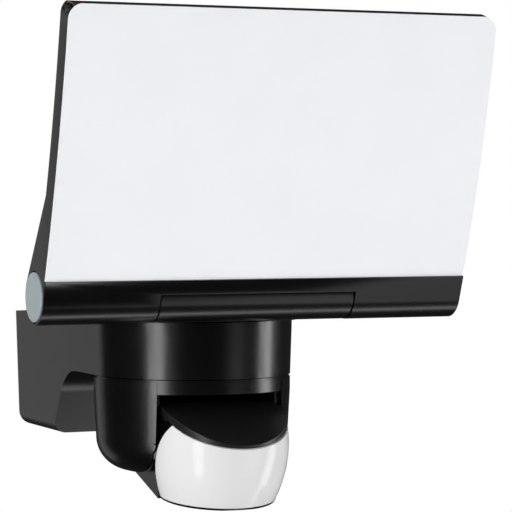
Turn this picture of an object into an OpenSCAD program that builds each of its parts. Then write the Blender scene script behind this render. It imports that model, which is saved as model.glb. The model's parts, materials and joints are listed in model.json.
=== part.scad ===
// Wall-mounted LED panel floodlight with a swivelling motion sensor.
// Millimetres. Back of the wall box at Y = 0, front towards -Y, +Z up,
// origin at the centre of the wall box's back face.

/* [Wall box and housing] */
// Distance from the wall to the vertical axis of the round front
reach = 108.5; // [95:0.5:130]
// Height of the wall box
box_h = 52; // [48:0.5:60]
// Radius of the round front at its lower edge
front_r = 41.35; // [39:0.05:50]
// Draft of the housing's sides, in degrees
draft = 1.9; // [0.5:0.1:3]
// Height of the housing's underside above the origin
under_z = 3.4; // [2:0.1:6]
// Depth of the wall box at its bottom
foot_depth = 46.4; // [38:0.2:50]
// Slope of the wall box's front below the housing, from vertical
scoop_angle = 34; // [25:1:38]
// Radius of the hollow blend under the housing
scoop_r = 24; // [8:0.5:30]
// Radius of the wall box's lower long edges
box_edge_r = 6.5; // [3:0.5:10]
// Drop of the top face at the wall
top_fall = 0.8; // [0:0.1:1.5]
// Wall thickness of the housing
wall = 2.4; // [1.8:0.1:3]

/* [Wall fixing] */
// Thickness of the wall plate
plate_t = 3; // [2.5:0.1:4]
// Distance between the two fixing slots
slot_spacing = 56; // [46:1:60]
// Width of a fixing slot
slot_w = 5; // [4:0.1:6]
// Length of a fixing slot, end to end
slot_len = 9; // [7:0.5:11]
// Radius of the cable hole through the grommet
cable_r = 4; // [3:0.1:5]

/* [Lamp panel] */
// Width of the lamp panel's shell
panel_w = 179; // [150:1:215]
// Length of the light face along its curve
face_len = 107.3; // [90:0.1:130]
// Radius of the light face's curve
face_r = 660; // [500:10:900]
// Thickness of the panel above the flare
panel_t = 9.7; // [8.5:0.1:12]
// Radius of the panel's upper corners
corner_r = 6; // [3:0.5:9]
// Lean of the panel towards the front at rest
panel_lean = 20; // [10:1:25]
// Slope of the flare behind the hinge barrel, from the panel's face
flare_angle = 15.3; // [12:0.1:20]
// Wall thickness of the panel's shell
shell_t = 2; // [1.6:0.1:2.4]
// Thickness of the diffuser where it plugs into the shell
diffuser_t = 2; // [1.6:0.1:2.4]
// Thickness of the diffuser's flange over the shell's rim
flange_t = 0.8; // [0.6:0.1:1.2]

/* [Panel hinge] */
// Radius of the hinge barrel
barrel_r = 10.9; // [10:0.1:13]
// Distance from the round front's axis forward to the hinge axis
hinge_reach = 60; // [56:0.5:70]
// Gap between the housing's top and the hinge barrel
barrel_gap = 1.6; // [1.2:0.1:3]
// Width of the fixed knuckle between the two barrels
knuckle_w = 82.6; // [70:0.2:100]
// Gap between the knuckle and the panel, each side
knuckle_gap = 0.6; // [0.3:0.05:0.8]
// Radius of the hinge pins
pin_r = 5; // [4:0.1:6]
// Radius of the silver end caps
cap_r = 10; // [9:0.1:10.2]
// How far the end caps stand out of the barrel
cap_proud = 0.5; // [0.2:0.1:1]

/* [Panel swivel] */
// Width of the neck's arm
arm_w = 56; // [46:1:64]
// Height of the neck's arm
arm_h = 6.5; // [6:0.1:8]
// Radius of the neck's spigot
spigot_r = 14; // [11:0.5:16]

/* [Sensor yoke] */
// Height of the recess between the housing and the yoke
groove_h = 1.2; // [0.9:0.1:2]
// Depth of the recess between the housing and the yoke
groove_depth = 0.6; // [0.3:0.1:1]
// Height of the ring band above the sensor head
band_h = 4.9; // [4:0.1:7]
// Height of the yoke's ears
ear_h = 38.8; // [36:0.2:46]
// Radius of the ears where their bottom rounding starts
ear_low_r = 40.2; // [38:0.1:44]
// Radius of the ears' bottom rounding
ear_round = 14; // [8:0.5:16]
// Depth of the tilt axis below the top of the ears
tilt_below = 23.5; // [22:0.5:26]
// Distance between the inner faces of the two cheeks
cheek_gap = 51; // [48:0.5:56]
// Thickness of a cheek
cheek_t = 2.2; // [1.6:0.1:3]
// Radius of the collar that carries the yoke in the housing
collar_r = 28; // [24:0.5:31]

/* [Sensor head] */
// Nod of the sensor head towards the floor at rest
head_nod = 17.5; // [10:0.5:20]
// Greatest radius of the lens
lens_r = 27.7; // [26:0.1:29]
// Radius of the lens's upright curve
lens_arc_r = 54; // [45:1:80]
// Height of the lens above its middle, at its axis
lens_rise = 17.9; // [16:0.1:19]
// Depth of the lens below its middle, at its axis
lens_fall = 17; // [15.5:0.1:17.2]
// Slope of the lens's upper rim
rim_slope = 8.2; // [4:0.1:10]
// Slope of the lens's lower rim
foot_slope = 11; // [7:0.1:12]
// Thickness of the lens
lens_t = 1.3; // [1:0.1:1.8]
// Distance from the lens axis back to the tilt axis
tilt_back = 31.4; // [30:0.1:33]
// Drop of the tilt axis below the lens's middle
tilt_drop = 2; // [1:0.1:3]
// Radius of the drum around the tilt axis
drum_r = 15.5; // [14:0.1:16.4]
// Radius of the tilt pins
tilt_pin_r = 4; // [3:0.1:5]
// Radius of the two setting dials
dial_r = 5; // [4:0.1:6]
// How far a setting dial stands out
dial_proud = 1; // [0.5:0.1:1.5]

/* [Fits] */
// Radial clearance of a turning fit
run_fit = 0.05; // [0.02:0.01:0.09]
// Gap between parts that move past each other
move_gap = 0.4; // [0.3:0.05:0.8]
// Gap round parts that sit in a recess
seat_gap = 0.15; // [0.1:0.05:0.3]

/* [Hidden] */
$fn = 96;

// Levels of the housing
box_bottom = -box_h / 2;
box_top = box_h / 2 + 0.5;
ring_top = under_z - groove_h;
axis_y = -reach;
top_fall_len = 14;

// Hinge axis in the row frame
hinge_y = axis_y - hinge_reach;
hinge_z = box_top + barrel_gap + barrel_r;

// Side profile of the panel, in its own upright frame about the hinge axis
face_foot = barrel_r - 0.75;
face_base = 10.4;
face_sweep = face_len / face_r * 180 / PI;
arc_y = face_r - face_foot;
flare_top = 41.5;
flare_start = [arc_y - sqrt(pow(face_r - panel_t, 2) - pow(flare_top - face_base, 2)), flare_top];
flare_end = [barrel_r * cos(flare_angle), barrel_r * sin(flare_angle)];
cavity_floor = barrel_r + 2.4;
half_panel = panel_w / 2;
half_knuckle = knuckle_w / 2;
notch_half = half_knuckle + knuckle_gap;
notch_r = barrel_r + 0.25;
knuckle_r = barrel_r - 0.15;
skirt_z = 4.5;
rear_cut_z = 7.4;
barrel_wall = 8.3;
barrel_bore_r = 8.4;
cap_depth = 2;

// Yoke and head
ring_bottom = ring_top - band_h;
ear_bottom = ring_top - ear_h;
cheek_in = cheek_gap / 2;
cheek_out = cheek_in + cheek_t;
tilt_z = ring_top - tilt_below;
head_half = cheek_in - move_gap;
dome_r = 70.6;
dome_y = -0.3;
dome_z = lens_rise + 2.4 - dome_r;
head_floor = -tilt_drop - drum_r;
lens_edge_r = 37.4;
lens_edge_y = -35.4;
lens_edge_z = -5.9;
lens_mid = 3;
head_wall = 1.8;
dial_x = 11;
dial_y = 11;
eps = 0.01;

// ---- helpers ----

// Extrudes a side view, drawn as (Y, Z), along X
module along_x(w) rotate([90, 0, 90]) linear_extrude(height = w, center = true) children();

// Extrudes a front view, drawn as (X, Z), from y0 to y1
module along_y(y0, y1)
    translate([0, y1, 0]) rotate([90, 0, 0]) linear_extrude(height = y1 - y0) children();

// A cylinder along X from x0 to x1
module rod_x(r, x0, x1) translate([x0, 0, 0]) rotate([0, 90, 0]) cylinder(r = r, h = x1 - x0);

// A cylinder along Y from y0 to y1
module rod_y(r, y0, y1) translate([0, y1, 0]) rotate([90, 0, 0]) cylinder(r = r, h = y1 - y0);

module both_sides() {
    children();
    mirror([1, 0, 0]) children();
}

module tube(r_out, r_in, h) difference() {
    cylinder(r = r_out, h = h);
    translate([0, 0, -1]) cylinder(r = r_in, h = h + 2);
}

// A pan-head screw, its head's underside at the origin and its shank along -Z
module screw(shank_r, length, head_r, head_h) {
    difference() {
        cylinder(r = head_r, h = head_h);
        for (a = [0, 90])
            translate([0, 0, head_h]) rotate([0, 0, a]) cube([head_r * 1.3, 0.7, head_h], center = true);
    }
    translate([0, 0, -length]) cylinder(r = shank_r, h = length + eps);
}

// ---- wall box and housing ----

function half_w(z) = front_r + (z - ring_top) * tan(draft);

// Front view of the wall box, drawn in by inset
module box_front(inset) {
    r = max(box_edge_r - inset, 0.5);
    z0 = box_bottom + inset;
    zc = z0 + r;
    xc = half_w(zc) - inset / cos(draft) - r / cos(draft);
    x_top = half_w(box_top + 2) - inset / cos(draft);
    x_side = xc + r * cos(draft);
    z_side = zc - r * sin(draft);
    polygon([[-xc, z0], [xc, z0], [x_side, z_side], [x_top, box_top + 2],
        [-x_top, box_top + 2], [-x_side, z_side]]);
    for (s = [-1, 1]) translate([s * xc, zc]) circle(r = r);
}

// Side view of the housing, drawn in by inset; the back runs to y_back
module housing_side(inset, y_back) {
    zu = under_z + inset;
    foot_y = -foot_depth + inset / cos(scoop_angle);
    corner = [foot_y - tan(scoop_angle) * (zu - box_bottom), zu];
    r = scoop_r + inset;
    blend = r * tan((90 - scoop_angle) / 2);
    on_under = corner - [blend, 0];
    on_scoop = corner + blend * [sin(scoop_angle), -cos(scoop_angle)];
    z_top = box_top - inset;
    y_front = axis_y - 2 * front_r;
    difference() {
        polygon([[y_back, box_bottom + inset], [y_back, z_top - top_fall], [-top_fall_len, z_top],
            [y_front, z_top], [y_front, zu], on_under, on_scoop, [foot_y, box_bottom + inset]]);
        translate(on_under - [0, r]) circle(r = r);
    }
}

// Outer form of the housing, drawn in by inset: the box and its half-round front
module housing_form(inset, y_back) {
    intersection() {
        along_x(4 * front_r) housing_side(inset, y_back);
        along_y(axis_y, y_back) box_front(inset);
    }
    translate([0, axis_y, 0]) rotate([0, 0, 180]) rotate_extrude(angle = 180) polygon([[0, under_z + inset],
        [half_w(under_z + inset) - inset / cos(draft), under_z + inset],
        [half_w(box_top - inset) - inset / cos(draft), box_top - inset], [0, box_top - inset]]);
}

screw_x = 24;
screw_y = -10;
board_z = 13;
board_y = [-70, -24];
board_half = 33;
boss_at = [[-28, -30], [28, -30], [-28, -64], [28, -64]];
// Room round the yoke where it turns past the hollow blend
relief_r = front_r + 0.7;

module housing() color([0.06, 0.06, 0.065]) {
    difference() {
        housing_form(0, 0);
        difference() {
            housing_form(wall, 1);
            // bearing boss for the neck's spigot
            translate([0, axis_y, box_top - 5.5]) cylinder(r = spigot_r + 6, h = 6);
            // bearing collar for the yoke
            translate([0, axis_y, under_z]) cylinder(r = collar_r + 3, h = 5.6);
            // thicker wall behind the relief for the yoke
            translate([0, axis_y, box_bottom]) cylinder(r = relief_r + wall, h = under_z + wall - box_bottom);
            // bosses for the driver board
            for (p = boss_at) translate([p[0], p[1], board_z + 1.6]) cylinder(r = 3.2, h = box_top);
        }
        translate([0, axis_y, box_bottom]) cylinder(r = relief_r, h = under_z - box_bottom);
        translate([0, axis_y, box_top - 6]) cylinder(r = spigot_r + run_fit, h = 8);
        translate([0, axis_y, under_z - 1]) cylinder(r = collar_r + run_fit, h = 8);
        for (p = boss_at) translate([p[0], p[1], board_z]) cylinder(r = 1.3, h = 8);
        both_sides() translate([screw_x, screw_y, box_bottom - 1]) {
            cylinder(r = 1.8, h = 6);
            cylinder(r = 3.7, h = 1.6);
        }
    }
}

module slots(y0, y1) both_sides() translate([slot_spacing / 2, 0, 0]) along_y(y0, y1) {
    square([slot_len - slot_w, slot_w], center = true);
    for (s = [-1, 1]) translate([s * (slot_len - slot_w) / 2, 0]) circle(r = slot_w / 2);
}

grommet_z = 10;
grommet_r = 7.5;

module wall_plate() color([0.09, 0.09, 0.095]) difference() {
    union() {
        along_y(-plate_t, 0) intersection() {
            box_front(wall + seat_gap);
            translate([-100, -100]) square([200, 100 + box_top - top_fall - wall - seat_gap]);
        }
        // lugs for the housing screws
        both_sides() translate([screw_x - 4.5, screw_y - 4.5, box_bottom + wall + seat_gap])
            cube([9, -screw_y + 4.5 - plate_t + eps, 11]);
    }
    slots(-plate_t - 1, 1);
    translate([0, 0, grommet_z]) rod_y(grommet_r, -plate_t - 1, 1);
    both_sides() translate([screw_x, screw_y, box_bottom]) cylinder(r = 1.5, h = 12);
    seal_ring(1);
}

// Frame let into the back of the wall plate, its back at y_back
module seal_ring(y_back) along_y(-1.2, y_back) difference() {
    intersection() {
        box_front(wall + 2.2);
        translate([-100, -100]) square([200, 100 + box_top - top_fall - wall - 2.2]);
    }
    intersection() {
        box_front(wall + 4.6);
        translate([-100, -100]) square([200, 100 + box_top - top_fall - wall - 4.6]);
    }
}

module wall_seal() color([0.12, 0.12, 0.12]) seal_ring(0);

module cable_grommet() color([0.14, 0.14, 0.14]) translate([0, 0, grommet_z]) difference() {
    union() {
        rod_y(grommet_r, -plate_t, 0);
        rod_y(grommet_r + 1.6, -plate_t - 1.6, -plate_t);
    }
    rod_y(cable_r, -plate_t - 3, 1);
}

terminal_z = -10;
terminal_y = -plate_t;
poles = 3;
pole_pitch = 8;

module terminal_block() color([0.85, 0.85, 0.82]) difference() {
    translate([-poles * pole_pitch / 2 - 1, terminal_y - 15, terminal_z - 7])
        cube([poles * pole_pitch + 2, 15, 14]);
    for (i = [0:poles - 1]) translate([(i - (poles - 1) / 2) * pole_pitch, terminal_y - 7.5, terminal_z]) {
        cylinder(r = 2.2, h = 20, center = true);
        translate([0, -7.5, 0]) rod_y(2.4, -1, 5);
    }
}

module terminal_screws() color([0.8, 0.75, 0.5])
    for (i = [0:poles - 1])
        translate([(i - (poles - 1) / 2) * pole_pitch, terminal_y - 13, terminal_z]) rotate([90, 0, 0])
            difference() {
                translate([0, 0, -2.8]) cylinder(r = 2.35, h = 4.4);
                translate([0, 0, 1.6]) cube([5, 0.7, 1.4], center = true);
            }

module housing_screws() color([0.7, 0.7, 0.7])
    both_sides() translate([screw_x, screw_y, box_bottom + 0.6]) rotate([180, 0, 0])
        screw(1.5, 11, 3.3, 0.6 - eps);

module driver_board() color([0.1, 0.35, 0.2]) difference() {
    translate([-board_half, board_y[0], board_z]) cube([2 * board_half, board_y[1] - board_y[0], 1.6]);
    for (p = boss_at) translate([p[0], p[1], board_z - 1]) cylinder(r = 1.6, h = 4);
}

module driver_parts() {
    // transformer and filter coil below the board
    color([0.75, 0.65, 0.3]) translate([-14, -49, board_z - 16]) cube([20, 18, 16]);
    color([0.5, 0.3, 0.15]) translate([19, -46, board_z - 11]) cylinder(r = 7, h = 11);
    // smoothing capacitor, lying on the board
    color([0.15, 0.15, 0.3]) translate([0, -60, board_z + 1.6 + 4]) rod_x(4, -24, -4);
    // relay and fuse
    color([0.1, 0.1, 0.1]) translate([4, -66, board_z + 1.6]) cube([16, 12, 8]);
    color([0.85, 0.85, 0.8]) translate([0, -36, board_z + 1.6 + 2.6]) rod_x(2.6, -10, 10);
}

module driver_screws() color([0.7, 0.7, 0.7])
    for (p = boss_at) translate([p[0], p[1], board_z]) rotate([180, 0, 0]) screw(1.3, 7, 2.4, 1.4);

// ---- neck: swivels on the housing and carries the hinge ----

arm_z = box_top + 0.6;
arm_top = arm_z + arm_h;
arm_wall = 2.2;
spigot_bottom = box_top - 12;
clip_z = box_top - 8.2;

module arm_plan(inset) {
    translate([0, axis_y]) circle(r = arm_w / 2 - inset);
    translate([-arm_w / 2 + inset, hinge_y]) square([arm_w - 2 * inset, hinge_reach]);
}

module at_hinge() translate([0, hinge_y, hinge_z]) children();

neck_screw_at = [[-20, -12], [20, -12], [-20, -32], [20, -32]];

module neck() color([0.07, 0.07, 0.075]) difference() {
    union() {
        translate([0, 0, arm_z]) linear_extrude(height = arm_h) arm_plan(0);
        translate([0, axis_y, spigot_bottom]) cylinder(r = spigot_r, h = arm_z - spigot_bottom + eps);
        at_hinge() rod_x(knuckle_r, -half_knuckle, half_knuckle);
    }
    difference() {
        translate([0, 0, arm_z + arm_wall]) linear_extrude(height = arm_h) arm_plan(arm_wall);
        // wall between the channel and the knuckle, and posts for the cover's screws
        at_hinge() rod_x(knuckle_r, -half_knuckle, half_knuckle);
        for (p = neck_screw_at) translate([p[0], axis_y + p[1], arm_z]) cylinder(r = 2.8, h = arm_h - 1.8);
    }
    for (p = neck_screw_at) translate([p[0], axis_y + p[1], arm_z + 1]) cylinder(r = 1.2, h = arm_h);
    // the arm's underside steps up in front of the housing
    translate([-arm_w, hinge_y, arm_z - 1]) cube([2 * arm_w, hinge_reach - front_r - 2, 2.6]);
    at_hinge() rod_x(barrel_bore_r, -half_knuckle + 5.3, half_knuckle - 5.3);
    at_hinge() rod_x(pin_r, -half_knuckle - 1, half_knuckle + 1);
    // wire way from the spigot through the channel into the knuckle
    translate([0, axis_y, spigot_bottom - 1]) cylinder(r = spigot_r - 3, h = 20);
    translate([-8, hinge_y, arm_z + arm_wall]) cube([16, knuckle_r + 4, arm_h - arm_wall - 1.8]);
    // groove for the retaining clip
    translate([0, axis_y, clip_z - 0.1]) tube(spigot_r + 1, spigot_r - 1, 1.7);
}

module neck_cover() color([0.08, 0.08, 0.085]) difference() {
    translate([0, 0, arm_top - 1.8]) linear_extrude(height = 1.8) arm_plan(arm_wall + seat_gap);
    at_hinge() rod_x(knuckle_r + seat_gap, -half_knuckle, half_knuckle);
    for (p = neck_screw_at) translate([p[0], axis_y + p[1], arm_top - 3]) {
        cylinder(r = 1.5, h = 4);
        translate([0, 0, 2.2]) cylinder(r = 2.7, h = 2);
    }
}

module neck_screws() color([0.7, 0.7, 0.7])
    for (p = neck_screw_at) translate([p[0], axis_y + p[1], arm_top - 0.8]) screw(1.2, 4.2, 2.5, 0.8 - eps);

// An open retaining ring
module open_clip(r_out, r_in, h) difference() {
    tube(r_out, r_in, h);
    translate([-2, 0, -1]) cube([4, r_out + 1, h + 2]);
}

module neck_clip() color([0.75, 0.75, 0.77])
    translate([0, axis_y, clip_z]) open_clip(spigot_r + 3.5, spigot_r - 1, 1.5);

pin_out = half_knuckle + knuckle_gap + barrel_wall + 3;

module hinge_pins() color([0.75, 0.75, 0.77]) at_hinge() both_sides() difference() {
    rod_x(pin_r, half_knuckle - 5.3, pin_out);
    rod_x(pin_r - 2, half_knuckle - 7, pin_out + 1);
    difference() {
        rod_x(pin_r + 1, pin_out - 2.5, pin_out - 1.3);
        rod_x(pin_r - 0.8, pin_out - 3, pin_out - 1);
    }
}

module hinge_clips() color([0.75, 0.75, 0.77]) at_hinge() both_sides()
    translate([pin_out - 2.5, 0, 0]) rotate([0, 90, 0]) open_clip(pin_r + 2.4, pin_r - 0.8, 1.2);

// ---- lamp panel ----

// Puts a child drawn upright about the hinge axis into its leaning place
module on_panel() at_hinge() rotate([panel_lean, 0, 0]) children();

// Band of the curved face between two depths below its front
module face_band(depth0, depth1, sweep0, sweep1) translate([arc_y, face_base]) intersection() {
    difference() {
        circle(r = face_r - depth0, $fn = 720);
        circle(r = face_r - depth1, $fn = 720);
    }
    polygon([[0, 0], for (a = [sweep0, sweep1]) 1.2 * face_r * [-cos(a), sin(a)]]);
}

// Angle of the face's arc that a length along it spans
function arc(length) = length / face_r * 180 / PI;

// Outer form of the panel's shell: curved band, flare and hinge barrel
module shell_form() {
    along_x(panel_w) face_band(flange_t, panel_t, 0, face_sweep);
    along_x(panel_w) polygon([[-barrel_r, 0], [-barrel_r, face_base], [-face_foot + flange_t, face_base],
        flare_start, flare_end, [0, 0]]);
    rod_x(barrel_r, -half_panel, half_panel);
}

module cavity_side() {
    face_band(-1, panel_t - shell_t, arc(flare_top - face_base - 2), face_sweep - arc(shell_t));
    x_floor = flare_end[0] - shell_t / cos(flare_angle) - (cavity_floor - flare_end[1]) * tan(flare_angle);
    polygon([[-barrel_r - 1, cavity_floor], [-barrel_r - 1, flare_top], [flare_start[0] - shell_t, flare_top],
        [x_floor, cavity_floor]]);
}

// Front view of the panel, drawn in by inset, from z0 upwards
module panel_front(inset, z0) {
    w = half_panel - inset;
    top = face_base + face_r * sin(face_sweep) - inset;
    r = corner_r - inset;
    polygon([[-w, z0], [w, z0], [w, top - r], [w - r, top], [r - w, top], [-w, top - r]]);
    for (s = [-1, 1]) translate([s * (w - r), top - r]) circle(r = r);
}

cable_port_x = 60;
spreader_t = 1.5;
led_board_t = 1;
spreader_depth = panel_t - shell_t;

module panel_shell() color([0.07, 0.07, 0.075]) on_panel() difference() {
    intersection() {
        shell_form();
        along_y(-60, 60) {
            panel_front(0, face_base);
            translate([-half_panel, -2 * barrel_r]) square([panel_w, 2 * barrel_r + face_base + 20]);
        }
    }
    // lamp chamber
    intersection() {
        along_x(panel_w) cavity_side();
        along_y(-60, 60) panel_front(shell_t, face_base);
    }
    // room for the knuckle
    rod_x(notch_r, -notch_half, notch_half);
    translate([-notch_half, -2 * barrel_r, -3 * barrel_r])
        cube([2 * notch_half, 2 * barrel_r, 3 * barrel_r + skirt_z]);
    translate([-notch_half, 0, -3 * barrel_r])
        cube([2 * notch_half, 2 * barrel_r, 3 * barrel_r + rear_cut_z]);
    // hollow barrels, pin bores and end cap seats
    both_sides() {
        rod_x(barrel_bore_r, notch_half + barrel_wall, half_panel - 5);
        rod_x(pin_r + run_fit, notch_half - 1, notch_half + barrel_wall + 1);
        rod_x(cap_r + seat_gap, half_panel - cap_depth, half_panel + 1);
        rod_x(4, half_panel - 6, half_panel);
        // wire way from the barrel into the lamp chamber
        translate([cable_port_x, -2, 0]) cylinder(r = 2.5, h = cavity_floor + 1);
    }
}

// Opal cover: a flange over the shell's rim and a step that plugs into it
module diffuser() color([0.95, 0.96, 0.97]) on_panel() {
    intersection() {
        along_x(panel_w) face_band(0, flange_t, 0, face_sweep);
        along_y(-60, 60) panel_front(0, face_base);
    }
    intersection() {
        along_x(panel_w) face_band(flange_t - eps, diffuser_t, arc(cavity_floor - face_base + seat_gap),
            face_sweep - arc(shell_t + seat_gap));
        along_y(-60, 60) panel_front(shell_t + seat_gap, face_base);
    }
}

// A closed frame that lies under the diffuser's rim
module diffuser_seal() color([0.1, 0.1, 0.1]) on_panel() intersection() {
    along_x(panel_w) face_band(diffuser_t, diffuser_t + 1.2, arc(cavity_floor - face_base + 0.3),
        face_sweep - arc(shell_t + 0.3));
    difference() {
        along_y(-60, 60) panel_front(shell_t + 0.3, face_base);
        along_y(-61, 61) panel_front(shell_t + 2.3, cavity_floor + 2.3);
    }
}

spreader_inset = 4.6;

module heat_spreader() color([0.8, 0.8, 0.82]) on_panel() intersection() {
    along_x(panel_w) face_band(spreader_depth - spreader_t, spreader_depth, arc(flare_top - face_base),
        face_sweep - arc(6));
    along_y(-60, 60) panel_front(spreader_inset, 0);
}

// Puts a child on the middle of a stretch of the face's arc: -y out of the face, z up the arc
module on_arc(depth, from, to) {
    mid = (arc(from) + arc(to)) / 2;
    translate([0, arc_y, face_base]) rotate([-mid, 0, 0]) translate([0, -(face_r - depth) - 0.02, 0])
        children();
}

board_rows = [[34, 66], [68, 100]];
led_board_half = 80;
led_cols = 12;
led_rows = 3;
led_pitch_x = 13.4;
led_pitch_z = 10;
// Columns of the screws that hold the boards, midway between lamps
panel_screw_cols = [-4, 0, 4];

module led_boards() color([0.93, 0.93, 0.9]) on_panel()
    for (b = board_rows) on_arc(spreader_depth - spreader_t, b[0], b[1])
        translate([-led_board_half, -led_board_t, -(b[1] - b[0]) / 2])
            cube([2 * led_board_half, led_board_t, b[1] - b[0]]);

module leds() color([0.95, 0.85, 0.3]) on_panel()
    for (b = board_rows) on_arc(spreader_depth - spreader_t, b[0], b[1])
        for (i = [0:led_cols - 1], j = [0:led_rows - 1])
            translate([(i - (led_cols - 1) / 2) * led_pitch_x, -led_board_t - 0.35,
                (j - (led_rows - 1) / 2) * led_pitch_z]) cube([2.8, 0.7, 2.8], center = true);

module panel_screws() color([0.75, 0.75, 0.77]) on_panel()
    for (b = board_rows) on_arc(spreader_depth - spreader_t, b[0], b[1])
        for (i = panel_screw_cols)
            translate([i * led_pitch_x, -led_board_t, 0]) rotate([90, 0, 0]) cylinder(r = 2, h = 0.9);

module end_cap() at_hinge() difference() {
    rod_x(cap_r, half_panel - cap_depth, half_panel + cap_proud);
    rod_x(cap_r - 1.4, half_panel - cap_depth - 1, half_panel - cap_depth + 0.8);
}

module end_cap_right() color([0.72, 0.75, 0.76]) end_cap();

module end_cap_left() color([0.72, 0.75, 0.76]) mirror([1, 0, 0]) end_cap();

// ---- sensor yoke ----

// Radius of the yoke just below the groove
skirt_r = front_r - 0.05;

// Half section of the yoke's outer form, drawn in by inset, down to its flat bottom
module yoke_section(inset) {
    r = ear_round - inset;
    xc = ear_low_r - ear_round;
    zc = ear_bottom + ear_round;
    polygon([[0, ear_bottom + inset], [xc, ear_bottom + inset], [xc + r, zc], [skirt_r - inset, ring_bottom],
        [skirt_r - inset, ring_top], [0, ring_top]]);
    translate([xc, zc]) circle(r = r);
}

module yoke_form(inset) translate([0, axis_y, 0]) rotate_extrude() intersection() {
    yoke_section(inset);
    translate([0, -100]) square([100, 200]);
}

ear_corner = 22;
ear_front = 31.3;
cheek_front = 28;
cheek_corner = 9;
cheek_rise = 2;
cover_t = 2;

// Side view of an ear about the round front's axis, from z0 up, with rounded lower corners
module ear_side(front, corner, z0) translate([axis_y, 0]) {
    translate([-front, z0 + corner]) square([2 * front, ring_top - z0 - corner]);
    translate([-front + corner, z0]) square([2 * (front - corner), ring_top - z0]);
    for (s = [-1, 1]) translate([s * (front - corner), z0 + corner]) circle(r = corner);
}

deck_r = front_r - 2.6;
deck_t = 2.6;
collar_top = under_z + 8.6;
yoke_clip_z = under_z + 5.9;

module on_axis() translate([0, axis_y, 0]) children();

module yoke() color([0.07, 0.07, 0.075]) difference() {
    union() {
        // deck with the raised disc that shows in the groove
        on_axis() translate([0, 0, ring_top - deck_t]) cylinder(r = deck_r, h = deck_t);
        on_axis() translate([0, 0, ring_top - eps]) cylinder(r = front_r - groove_depth, h = groove_h - 0.35);
        // ring band in front, between the ear covers
        intersection() {
            on_axis() translate([0, 0, ring_bottom]) tube(front_r - 0.25, front_r - 2.8, band_h);
            translate([-cheek_out, axis_y - 2 * front_r, ring_bottom - 1])
                cube([2 * cheek_out, 2 * front_r, band_h + 2]);
        }
        // cheeks
        intersection() {
            on_axis() translate([0, 0, ear_bottom])
                cylinder(r1 = ear_low_r - 1.6, r2 = skirt_r - 1.6, h = ear_h);
            both_sides() translate([cheek_in, -200, -100]) cube([cheek_t, 200, 100 + ring_top]);
            along_x(4 * front_r) ear_side(cheek_front, cheek_corner, ear_bottom + cheek_rise);
        }
        // collar
        on_axis() translate([0, 0, ring_top - eps]) cylinder(r = collar_r, h = collar_top - ring_top);
    }
    on_axis() translate([0, 0, ring_bottom - 1]) cylinder(r = collar_r - 3, h = collar_top + 10);
    on_axis() translate([0, 0, yoke_clip_z - 0.1]) tube(collar_r + 1, collar_r - 1, 1.7);
    translate([0, axis_y, tilt_z]) rod_x(tilt_pin_r, -cheek_out - 1, cheek_out + 1);
}

module yoke_clip() color([0.75, 0.75, 0.77])
    on_axis() translate([0, 0, yoke_clip_z]) open_clip(collar_r + 2.6, collar_r - 1, 1.5);

// Outer cover of one ear, hollow behind
module ear_cover() difference() {
    intersection() {
        yoke_form(0);
        translate([cheek_out, -200, -100]) cube([50, 200, 200]);
        along_x(4 * front_r) ear_side(ear_front, ear_corner, ear_bottom);
    }
    intersection() {
        yoke_form(cover_t);
        translate([cheek_out - 1, -200, -100]) cube([50, 200, 100 + ring_top - deck_t - 0.1]);
        along_x(4 * front_r) ear_side(ear_front - cover_t, ear_corner - cover_t, ear_bottom + cover_t);
    }
    on_axis() translate([0, 0, ring_top - deck_t - 0.1]) cylinder(r = deck_r + 0.1, h = deck_t + 1);
}

module ear_cover_right() color([0.06, 0.06, 0.065]) ear_cover();

module ear_cover_left() color([0.06, 0.06, 0.065]) mirror([1, 0, 0]) ear_cover();

back_from = 13;

module yoke_back() color([0.07, 0.07, 0.075]) difference() {
    intersection() {
        yoke_form(0);
        translate([-cheek_in, axis_y + back_from, -100]) cube([2 * cheek_in, 100, 200]);
    }
    intersection() {
        yoke_form(cover_t);
        translate([-60, axis_y, -100]) cube([120, 60, 100 + ring_top - deck_t - 0.1]);
    }
    on_axis() translate([0, 0, ring_top - deck_t - 0.1]) cylinder(r = deck_r + 0.1, h = deck_t + 1);
}

module tilt_pins() color([0.75, 0.75, 0.77]) translate([0, axis_y, tilt_z]) both_sides() {
    rod_x(tilt_pin_r, head_half - 2.6, cheek_out + 2.4);
    rod_x(tilt_pin_r + 2.5, cheek_out, cheek_out + 1.2);
}

// ---- sensor head ----

// Puts a child drawn about the lens's middle into its nodding place
module on_head()
    translate([0, axis_y, tilt_z]) rotate([head_nod, 0, 0]) translate([0, -tilt_back, tilt_drop]) children();

// Side view of the whole head
module head_side(inset) {
    intersection() {
        translate([dome_y, dome_z]) circle(r = dome_r - inset, $fn = 360);
        translate([-lens_r - 5, head_floor + inset]) square([lens_r + 5 + tilt_back, 60]);
    }
    translate([tilt_back, -tilt_drop]) circle(r = drum_r - inset);
}

// Body of revolution that the lens is cut from, drawn in by inset
module lens_form(inset) rotate_extrude() intersection() {
    translate([lens_r - lens_arc_r, lens_mid]) circle(r = lens_arc_r - inset, $fn = 360);
    translate([0, -lens_fall - 8]) square([lens_r + 2, lens_fall + lens_rise + 16]);
}

// Levels of the lens's rims well in front of its axis
rim_front = lens_rise - 40 * tan(rim_slope);
foot_front = -lens_fall + 40 * tan(foot_slope);

// Space between the two sloping rims of the lens
module between_rims() along_x(4 * lens_r)
    polygon([[40, 2 * lens_rise - rim_front], [-40, rim_front],
        [-40, foot_front], [40, -2 * lens_fall - foot_front]]);

// Space in front of the lens's rear edge
module lens_reach(grow) translate([0, lens_edge_y, lens_edge_z]) rod_x(lens_edge_r + grow, -40, 40);

module fresnel_lens() color([0.93, 0.94, 0.95, 0.8]) on_head() intersection() {
    difference() {
        lens_form(0);
        lens_form(lens_t);
    }
    between_rims();
    lens_reach(0);
}

cap_back = 13;

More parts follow.
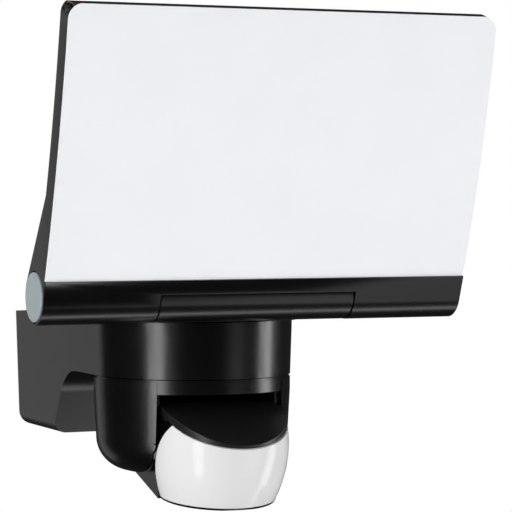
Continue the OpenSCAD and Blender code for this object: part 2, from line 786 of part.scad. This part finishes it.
cap_seat = lens_rise - 1.4;

// Region of the head that the cap takes
module cap_region() along_x(4 * lens_r)
    polygon([[-40, rim_front], [0, lens_rise], [0, cap_seat],
        [cap_back, cap_seat], [cap_back, 60], [-40, 60]]);

module head_cap() color([0.06, 0.06, 0.065]) on_head() intersection() {
    along_x(4 * lens_r) head_side(0);
    cap_region();
    union() {
        translate([0, 0, -30]) cylinder(r = lens_r - 2, h = 60);
        translate([-head_half, 0, -30]) cube([2 * head_half, 60, 60]);
    }
}

module head_shell() color([0.07, 0.07, 0.075]) on_head() difference() {
    intersection() {
        along_x(2 * head_half) head_side(0);
        translate([-40, -20, head_floor]) cube([80, 90, 60]);
    }
    cap_region();
    lens_reach(0.1);
    // hollow for the electronics, open towards the lens
    intersection() {
        along_x(2 * (head_half - head_wall)) head_side(head_wall);
        translate([-40, -30, head_floor + head_wall]) cube([80, 90, cap_seat - head_floor - 2 * head_wall]);
    }
    translate([0, tilt_back, -tilt_drop]) rod_x(tilt_pin_r + run_fit, -40, 40);
    for (s = [-1, 1]) translate([s * dial_x, dial_y, head_floor - 1]) cylinder(r = dial_r + move_gap, h = 6);
    // wire way towards the yoke's collar
    translate([-5, tilt_back - 4, 0]) cube([10, 8, 30]);
}

base_t = 0.6;

// Tray that closes the lens below
module head_base() color([0.06, 0.06, 0.065]) on_head() intersection() {
    lens_form(0.3);
    along_x(4 * lens_r) polygon([[-40, foot_front], [0, -lens_fall], [5, -lens_fall],
        [5, -lens_fall - base_t], [0, -lens_fall - base_t], [-40, foot_front - base_t]]);
    lens_reach(0.1);
}

board_at = 8;

module sensor_board() color([0.1, 0.35, 0.2]) on_head() difference() {
    translate([-19, board_at, -13]) cube([38, 1.6, 25]);
    for (s = [-1, 1]) translate([s * 15, 0, 8]) rod_y(1.3, 0, 20);
}

module pir_sensor() color([0.78, 0.78, 0.76]) on_head() {
    rod_y(4.6, board_at - 5, board_at);
    rod_y(5.2, board_at - 0.6, board_at);
}

module light_sensor() color([0.8, 0.8, 0.75]) on_head() translate([10, 0, -6]) {
    rod_y(2.5, board_at - 4, board_at);
    translate([0, board_at - 4, 0]) sphere(r = 2.5);
}

module head_screws() color([0.7, 0.7, 0.7]) on_head()
    for (s = [-1, 1]) translate([s * 15, board_at, 8]) rotate([90, 0, 0]) screw(1.3, 5, 2.4, 1.2);

// A setting dial with a screwdriver slot, turning about the head's own upright axis
module dial() difference() {
    translate([0, 0, head_floor - dial_proud]) cylinder(r = dial_r, h = dial_proud + 2);
    translate([0, 0, head_floor - dial_proud]) cube([2 * dial_r - 2, 1.2, 1.6], center = true);
    for (a = [0:30:330])
        rotate([0, 0, a]) translate([dial_r + 0.5, 0, head_floor - dial_proud - 1]) cylinder(r = 0.9, h = 6);
}

module time_dial() color([0.85, 0.85, 0.86]) on_head() translate([-dial_x, dial_y, 0]) dial();

module light_dial() color([0.85, 0.85, 0.86]) on_head() translate([dial_x, dial_y, 0]) dial();

wall_plate();
wall_seal();
cable_grommet();
terminal_block();
terminal_screws();
housing();
housing_screws();
driver_board();
driver_parts();
driver_screws();
neck();
neck_cover();
neck_screws();
neck_clip();
hinge_pins();
hinge_clips();
panel_shell();
diffuser();
diffuser_seal();
heat_spreader();
led_boards();
leds();
panel_screws();
end_cap_left();
end_cap_right();
yoke();
ear_cover_left();
ear_cover_right();
yoke_back();
yoke_clip();
tilt_pins();
head_shell();
head_cap();
head_base();
fresnel_lens();
sensor_board();
pir_sensor();
light_sensor();
head_screws();
time_dial();
light_dial();
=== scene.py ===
import json
import math

import bmesh
import bpy
from mathutils import Matrix, Vector

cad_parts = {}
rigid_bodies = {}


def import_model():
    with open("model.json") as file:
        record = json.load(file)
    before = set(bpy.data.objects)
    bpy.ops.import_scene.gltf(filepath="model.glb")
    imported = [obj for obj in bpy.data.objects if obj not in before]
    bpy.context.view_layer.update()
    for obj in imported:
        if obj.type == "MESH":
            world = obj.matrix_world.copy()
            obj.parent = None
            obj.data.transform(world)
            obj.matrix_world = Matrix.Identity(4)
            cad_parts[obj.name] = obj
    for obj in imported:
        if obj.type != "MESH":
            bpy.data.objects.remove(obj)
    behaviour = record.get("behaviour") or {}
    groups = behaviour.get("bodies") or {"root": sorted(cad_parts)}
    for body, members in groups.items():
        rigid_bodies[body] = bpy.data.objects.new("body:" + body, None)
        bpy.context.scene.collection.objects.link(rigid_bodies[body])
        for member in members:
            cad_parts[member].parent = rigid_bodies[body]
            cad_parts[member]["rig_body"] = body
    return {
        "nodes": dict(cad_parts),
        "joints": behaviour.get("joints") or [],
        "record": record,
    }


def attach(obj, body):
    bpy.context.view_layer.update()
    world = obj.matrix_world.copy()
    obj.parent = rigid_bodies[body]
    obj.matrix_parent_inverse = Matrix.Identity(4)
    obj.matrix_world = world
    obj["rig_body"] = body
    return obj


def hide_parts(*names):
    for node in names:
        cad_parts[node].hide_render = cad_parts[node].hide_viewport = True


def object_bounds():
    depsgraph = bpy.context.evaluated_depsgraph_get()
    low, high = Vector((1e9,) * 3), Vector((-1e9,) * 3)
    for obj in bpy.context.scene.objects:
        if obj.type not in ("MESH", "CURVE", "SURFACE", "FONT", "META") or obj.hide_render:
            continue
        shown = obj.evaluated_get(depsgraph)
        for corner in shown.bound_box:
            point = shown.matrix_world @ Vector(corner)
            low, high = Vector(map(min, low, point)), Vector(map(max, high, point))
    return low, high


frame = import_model()
cad_low, cad_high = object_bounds()
nodes = frame["nodes"]
scene = bpy.context.scene

# ---- the head's and the panel's places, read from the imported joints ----
joints = {joint["name"]: joint for joint in frame["joints"]}
tilt_at = Vector(joints["sensor_tilt"]["pos_m"])
hinge_at = Vector(joints["panel_tilt"]["pos_m"])
head_up = Vector(joints["time_setting"]["axis"])
nod = math.atan2(-head_up.y, head_up.z)

# ---- how the CAD's shapes are softened, in metres and radians ----
ROUNDED = {
    "housing": 0.0004, "panel_shell": 0.0002, "neck": 0.0005, "yoke": 0.0003,
    "yoke_back": 0.0004, "head_shell": 0.0004, "diffuser": 0.0001, "wall_plate": 0.0003,
    "neck_cover": 0.0002,
}
CAP_RADIUS = 0.0002
DISC_RADIUS = 0.0003
TRAY_RADIUS = 0.0001
EAR_RADIUS = 0.0003
EAR_LOW_RADIUS = 0.0018
EAR_LOW_TOP = -0.004                # the ears' edges below this height take the larger radius
WELD_BEFORE = 2e-6                  # vertices closer than this are one, before and after rounding
WELD_AFTER = 1e-6
FLAT_ANGLE = math.radians(0.4)      # faces that meet at less are joined
EDGE_ANGLE = math.radians(28)       # edges that turn by more are rounded
CREASE_ANGLE = math.radians(50)     # edges that still turn by more stay sharp in the shading

# the silver discs' drawn radius as a share of the CAD's
DISC_SHARE = 0.965

# the tray below the lens: how much it grows about the lens's axis, and where its upper part begins
LENS_FROM_TILT = (0, -0.0314, 0.002)
TRAY_SPLIT = -0.0172
TRAY_SLANT = math.radians(11)
TRAY_LOW_GROWTH = 1.016
TRAY_TOP_GROWTH = 1.024
TRAY_TOP_LIFT = 0.0004
INSIDE_BOX = 1e-6                   # the tray stays at least this far above the CAD box's floor


# ---- materials ----
def new_material(name):
    material = bpy.data.materials.new(name)
    material.use_nodes = True
    return material, material.node_tree, material.node_tree.nodes["Principled BSDF"]


def noise(tree, scale, detail):
    coord = tree.nodes.new("ShaderNodeTexCoord")
    texture = tree.nodes.new("ShaderNodeTexNoise")
    texture.inputs["Scale"].default_value = scale
    texture.inputs["Detail"].default_value = detail
    texture.inputs["Roughness"].default_value = 0.55
    tree.links.new(coord.outputs["Object"], texture.inputs["Vector"])
    return texture.outputs["Fac"]


def tint(tree, fac, low, high):
    """A colour that wanders between low and high with fac."""
    node = tree.nodes.new("ShaderNodeValToRGB")
    stops = ((0.25, low), (0.75, high))
    for element, (position, colour) in zip(node.color_ramp.elements, stops):
        element.position = position
        element.color = (*colour, 1)
    tree.links.new(fac, node.inputs["Fac"])
    return node.outputs["Color"]


def spread(tree, fac, low, high):
    """A number that wanders between low and high with fac."""
    node = tree.nodes.new("ShaderNodeMapRange")
    node.inputs["To Min"].default_value = low
    node.inputs["To Max"].default_value = high
    tree.links.new(fac, node.inputs["Value"])
    return node.outputs["Result"]


def bump(tree, shader, height, strength, distance):
    node = tree.nodes.new("ShaderNodeBump")
    node.inputs["Strength"].default_value = strength
    node.inputs["Distance"].default_value = distance
    tree.links.new(height, node.inputs["Height"])
    tree.links.new(node.outputs["Normal"], shader.inputs["Normal"])


def plastic(name, low, high, rough=(0.22, 0.28), grain=2600, strength=0.12, ior=1.5):
    """Moulded plastic: a faint colour change, uneven gloss and a fine moulded grain."""
    material, tree, shader = new_material(name)
    shader.inputs["IOR"].default_value = ior
    tree.links.new(tint(tree, noise(tree, 35, 4), low, high), shader.inputs["Base Color"])
    tree.links.new(spread(tree, noise(tree, 140, 3), *rough), shader.inputs["Roughness"])
    bump(tree, shader, noise(tree, grain, 2), strength, 0.00006)
    return material


def metal(name, low, high, rough=(0.22, 0.4), metallic=1.0):
    material, tree, shader = new_material(name)
    shader.inputs["Metallic"].default_value = metallic
    tree.links.new(tint(tree, noise(tree, 220, 4), low, high), shader.inputs["Base Color"])
    tree.links.new(spread(tree, noise(tree, 900, 3), *rough), shader.inputs["Roughness"])
    bump(tree, shader, noise(tree, 3000, 2), 0.15, 0.00004)
    return material


black = plastic("satin_black_plastic", (0.0015, 0.0015, 0.0016), (0.0023, 0.0023, 0.0024))
cap_black = plastic(
    "sensor_cap_plastic", (0.0068, 0.0068, 0.007), (0.0086, 0.0086, 0.0088), (0.36, 0.44), 2200, 0.16)
opal = plastic("opal_white", (0.81, 0.825, 0.855), (0.835, 0.85, 0.88), (0.3, 0.4), 1800, 0.05)
silver = metal("silver_lacquer", (0.325, 0.385, 0.4), (0.365, 0.425, 0.44), (0.42, 0.5), 0.2)
milky = plastic(
    "milky_lens", (0.685, 0.685, 0.685), (0.715, 0.715, 0.715), (0.09, 0.14), 1500, 0.02, 1.3)
rubber = plastic("black_rubber", (0.012, 0.012, 0.012), (0.02, 0.02, 0.02), (0.6, 0.75), 1800, 0.3)
steel = metal("zinc_plated_steel", (0.5, 0.5, 0.51), (0.62, 0.62, 0.63))
brass = metal("brass_terminals", (0.55, 0.38, 0.14), (0.66, 0.48, 0.2))
alloy = metal("sheet_aluminium", (0.6, 0.6, 0.62), (0.7, 0.7, 0.72), (0.3, 0.45))
green = plastic("solder_mask", (0.01, 0.07, 0.03), (0.02, 0.11, 0.045), (0.25, 0.35), 900, 0.1)
cream = plastic("terminal_cream", (0.6, 0.6, 0.55), (0.7, 0.7, 0.65), (0.4, 0.5))
parts_brown = plastic("component_cases", (0.05, 0.035, 0.02), (0.1, 0.07, 0.03), (0.35, 0.5))
white_board = plastic("white_solder_mask", (0.72, 0.72, 0.7), (0.8, 0.8, 0.78), (0.35, 0.45))
amber = plastic("phosphor", (0.7, 0.5, 0.08), (0.8, 0.6, 0.14), (0.3, 0.4))
clear = plastic("sensor_dome", (0.55, 0.55, 0.5), (0.65, 0.65, 0.6), (0.08, 0.14))
grey = plastic("dial_grey", (0.3, 0.3, 0.31), (0.36, 0.36, 0.37), (0.4, 0.5))

finish_of = {
    "housing_plastic": black, "rubber_black": rubber, "terminal_plastic": cream,
    "terminal_brass": brass, "steel_plated": steel, "board_green": green,
    "component_plastic": parts_brown, "diffuser_opal": opal, "spreader_aluminium": alloy,
    "board_white": white_board, "led_amber": amber, "cap_silver": silver,
    "lens_milky": milky, "sensor_clear": clear, "dial_grey": grey,
}
slot_of = {part["node"]: part["material_slot"] for part in frame["record"]["subparts"]}
for name, obj in nodes.items():
    obj.data.materials.clear()
    obj.data.materials.append(finish_of[slot_of[name]])


# ---- softened copies of moulded and turned pieces ----
def round_edges(bm, radius, steps, chosen=lambda edge: True):
    """Rounds the sharp edges of a mesh that chosen picks."""
    sharp = [
        edge for edge in bm.edges
        if len(edge.link_faces) == 2 and edge.calc_face_angle(0) > EDGE_ANGLE and chosen(edge)]
    bmesh.ops.bevel(
        bm, geom=sharp, offset=radius, offset_type="OFFSET", segments=steps, profile=0.5,
        affect="EDGES", clamp_overlap=True)


def soften(node, radius, finish=None, low_radius=None, low_top=None):
    """Replaces a CAD node by a copy with rounded edges, with low_radius for those below low_top."""
    bm = bmesh.new()
    bm.from_mesh(nodes[node].data)
    bmesh.ops.remove_doubles(bm, verts=bm.verts, dist=WELD_BEFORE)
    bmesh.ops.dissolve_limit(
        bm, angle_limit=FLAT_ANGLE, verts=bm.verts, edges=bm.edges, delimit={"NORMAL"})
    if low_radius:
        round_edges(bm, low_radius, 4, lambda edge: all(v.co.z < low_top for v in edge.verts))
        round_edges(bm, radius, 2, lambda edge: any(v.co.z > low_top for v in edge.verts))
    else:
        round_edges(bm, radius, 2)
    bmesh.ops.remove_doubles(bm, verts=bm.verts, dist=WELD_AFTER)
    mesh = bpy.data.meshes.new(node + "_soft")
    bm.to_mesh(mesh)
    bm.free()
    for face in mesh.polygons:
        face.use_smooth = True
    mesh.set_sharp_from_angle(angle=CREASE_ANGLE)
    mesh.materials.append(finish or finish_of[slot_of[node]])
    obj = bpy.data.objects.new(node + "_soft", mesh)
    scene.collection.objects.link(obj)
    even = obj.modifiers.new("even_normals", "WEIGHTED_NORMAL")
    even.weight = 100
    even.keep_sharp = True
    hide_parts(node)
    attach(obj, nodes[node]["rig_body"])
    return obj


def silver_disc(node):
    """An end cap drawn a little small, so that the barrel's rim shows as a black ring round it."""
    disc = soften(node, DISC_RADIUS)
    for vert in disc.data.vertices:
        vert.co.y = hinge_at.y + (vert.co.y - hinge_at.y) * DISC_SHARE
        vert.co.z = hinge_at.z + (vert.co.z - hinge_at.z) * DISC_SHARE


def lens_tray():
    """The tray below the lens, grown a little so that its edge shows as a black line."""
    tray = soften("head_base", TRAY_RADIUS)
    head_turn = Matrix.Rotation(nod, 4, "X")
    to_world = Matrix.Translation(tilt_at) @ head_turn @ Matrix.Translation(LENS_FROM_TILT)
    to_lens = to_world.inverted()
    for vert in tray.data.vertices:
        place = to_lens @ vert.co
        on_top = place.z > TRAY_SPLIT - place.y * math.tan(TRAY_SLANT)
        growth = TRAY_TOP_GROWTH if on_top else TRAY_LOW_GROWTH
        place.x *= growth
        place.y *= growth
        if on_top:
            place.z += TRAY_TOP_LIFT
        vert.co = to_world @ place
        vert.co.z = max(vert.co.z, cad_low[2] + INSIDE_BOX)


for name, radius in ROUNDED.items():
    soften(name, radius)
for name in ("ear_cover_left", "ear_cover_right"):
    soften(name, EAR_RADIUS, low_radius=EAR_LOW_RADIUS, low_top=EAR_LOW_TOP)
soften("head_cap", CAP_RADIUS, finish=cap_black)
for name in ("end_cap_left", "end_cap_right"):
    silver_disc(name)
lens_tray()

# ---- floor, light and camera ----
FLOOR_Z = -1.5                      # so far below the object that it shades little of the fills
FLOOR_HALF = 6.0
LIGHTS_AIM = Vector((0, -0.11, 0.04))
ACROSS_PICTURE = Vector((0.914, -0.406, 0))
FILL_DISTANCE = 3.0
FILL_HEIGHT = 3.0
WORLD_FILL = 0.03
CAMERA_AT = (-0.38598, -1.05816, 0.07845)
CAMERA_YAW = math.radians(23.765)
CAMERA_DIP = math.radians(0.896)
SENSOR_WIDTH = 36                   # millimetres, like the focal length
FOCAL_LENGTH = 171.41
SHIFT = (-0.01126, -0.04592)


def stage_floor():
    """A pale floor that the camera sees, but that neither shines in the object nor lights it."""
    mesh = bpy.data.meshes.new("floor")
    corners = [
        (x * FLOOR_HALF, y * FLOOR_HALF, 0) for x, y in ((-1, -1), (1, -1), (1, 1), (-1, 1))]
    mesh.from_pydata(corners, [], [(0, 1, 2, 3)])
    floor = bpy.data.objects.new("floor", mesh)
    scene.collection.objects.link(floor)
    floor.location.z = FLOOR_Z
    material, tree, shader = new_material("pale_floor")
    pale = tint(tree, noise(tree, 3, 2), (0.9, 0.9, 0.9), (0.93, 0.93, 0.93))
    tree.links.new(pale, shader.inputs["Base Color"])
    shader.inputs["Emission Color"].default_value = (1, 1, 1, 1)
    shader.inputs["Emission Strength"].default_value = 1.0
    mesh.materials.append(material)
    floor.visible_glossy = False
    floor.visible_diffuse = False


def background(tree, strength):
    node = tree.nodes.new("ShaderNodeBackground")
    node.inputs["Color"].default_value = (1, 1, 1, 1)
    node.inputs["Strength"].default_value = strength
    return node.outputs["Background"]


def studio_world():
    """A world that is white for the camera and nearly dark for the object."""
    world = bpy.data.worlds.new("studio")
    world.use_nodes = True
    scene.world = world
    tree = world.node_tree
    tree.nodes.clear()
    out = tree.nodes.new("ShaderNodeOutputWorld")
    path = tree.nodes.new("ShaderNodeLightPath")
    mix = tree.nodes.new("ShaderNodeMixShader")
    tree.links.new(path.outputs["Is Camera Ray"], mix.inputs["Fac"])
    tree.links.new(background(tree, WORLD_FILL), mix.inputs[1])
    tree.links.new(background(tree, 1.0), mix.inputs[2])
    tree.links.new(mix.outputs["Shader"], out.inputs["Surface"])


def softbox(name, azimuth, elevation, distance, size, power, glossy=True, along=None):
    """A rectangular light round the object. Azimuth 0 is in front of it, 90 on its +X side.

    along turns the light so that its width runs in that direction.
    """
    turn, rise = math.radians(azimuth), math.radians(elevation)
    data = bpy.data.lights.new(name, "AREA")
    data.shape = "RECTANGLE"
    data.size, data.size_y = size
    data.energy = power
    lamp = bpy.data.objects.new(name, data)
    scene.collection.objects.link(lamp)
    away = Vector((
        math.sin(turn) * math.cos(rise), -math.cos(turn) * math.cos(rise), math.sin(rise)))
    lamp.location = LIGHTS_AIM + away * distance
    lamp.rotation_mode = "QUATERNION"
    lamp.rotation_quaternion = (-away).to_track_quat("-Z", "Y")
    if along:
        across = (along - along.dot(away) * away).normalized()
        axes = Matrix((across, away.cross(across), away)).transposed()
        lamp.rotation_quaternion = axes.to_quaternion()
    lamp.visible_glossy = glossy


def light_object():
    """Boxes whose reflections are the streaks in the black plastic, and fills without a reflection."""
    softbox("left_box", azimuth=-62, elevation=0, distance=1.6, size=(0.5, 2.4), power=24)
    softbox("right_box", azimuth=73, elevation=0, distance=1.6, size=(0.48, 2.4), power=21)
    softbox("left_back_box", azimuth=-160, elevation=0, distance=1.8, size=(0.75, 2.4), power=1.95)
    softbox("front_strip", azimuth=31, elevation=-24, distance=1.6, size=(0.5, 0.9), power=1.7)
    softbox(
        "under_box", azimuth=72, elevation=-65, distance=1.2, size=(1.3, 0.2), power=2.4,
        along=ACROSS_PICTURE)
    softbox("top_back_box", azimuth=-165, elevation=68, distance=1.8, size=(1.6, 0.7), power=14)
    fills = (
        ("front_fill", -18, -8, 3.0, 40), ("left_fill", -95, -5, 2.0, 30),
        ("right_fill", 50, -5, 2.0, 24))
    for name, azimuth, elevation, width, power in fills:
        softbox(name, azimuth, elevation, FILL_DISTANCE, (width, FILL_HEIGHT), power, glossy=False)


def add_camera():
    data = bpy.data.cameras.new("camera")
    data.sensor_width = SENSOR_WIDTH
    data.lens = FOCAL_LENGTH
    data.shift_x, data.shift_y = SHIFT
    data.clip_start = 0.01
    data.clip_end = 100
    camera = bpy.data.objects.new("camera", data)
    scene.collection.objects.link(camera)
    camera.location = CAMERA_AT
    forward = Vector((
        math.sin(CAMERA_YAW) * math.cos(CAMERA_DIP), math.cos(CAMERA_YAW) * math.cos(CAMERA_DIP),
        -math.sin(CAMERA_DIP)))
    camera.rotation_mode = "QUATERNION"
    camera.rotation_quaternion = forward.to_track_quat("-Z", "Y")
    scene.camera = camera


stage_floor()
studio_world()
light_object()
add_camera()
scene.view_settings.view_transform = "Standard"
